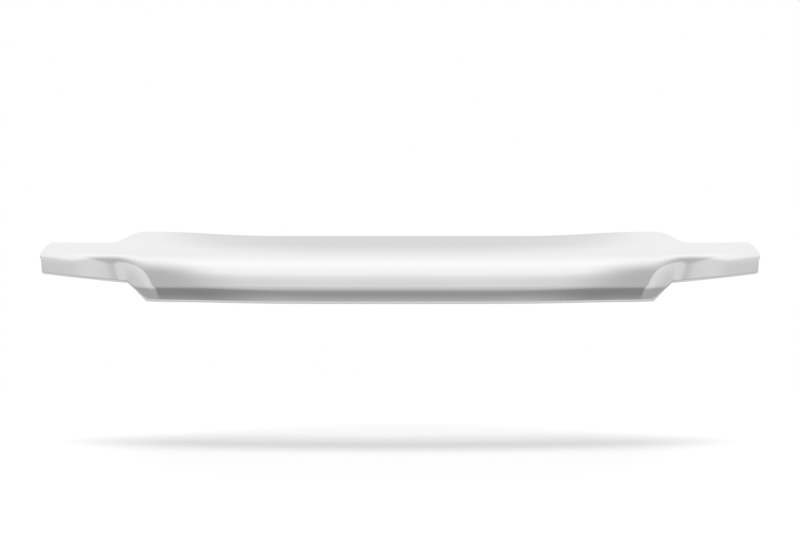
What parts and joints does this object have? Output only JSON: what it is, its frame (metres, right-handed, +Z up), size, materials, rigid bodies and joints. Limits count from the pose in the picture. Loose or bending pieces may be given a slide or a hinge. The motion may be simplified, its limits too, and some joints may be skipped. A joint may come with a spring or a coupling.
{
  "type": "hood bug deflector",
  "caption": "Bright-plated shell that wraps over the front edge of a pickup's hood, with a raised middle, two lower wings and foam bonding strips behind its edges.",
  "frame": {"origin": "middle of the shell's lower edge, on the outer face, which is set level with the lower front edge of the hood", "axes": "+X to the vehicle's left side, across the hood; +Y back towards the windscreen; +Z up"},
  "size_m": [1.7852, 0.2936, 0.1701],
  "materials": {
    "bright_plating": "polished bright nickel and chromium plating on moulded ABS",
    "foam_tape": "matt closed-cell acrylic foam"
  },
  "bodies": {
    "root": {"shield": "bright_plating", "tape_top_centre": "foam_tape", "tape_bottom_centre": "foam_tape", "tape_top_shoulder_left": "foam_tape", "tape_top_shoulder_right": "foam_tape", "tape_top_wing_left": "foam_tape", "tape_top_wing_right": "foam_tape", "tape_notch_left": "foam_tape", "tape_notch_right": "foam_tape", "tape_bottom_wing_left": "foam_tape", "tape_bottom_wing_right": "foam_tape", "tape_end_left": "foam_tape", "tape_end_right": "foam_tape"}
  },
  "joints": []
}
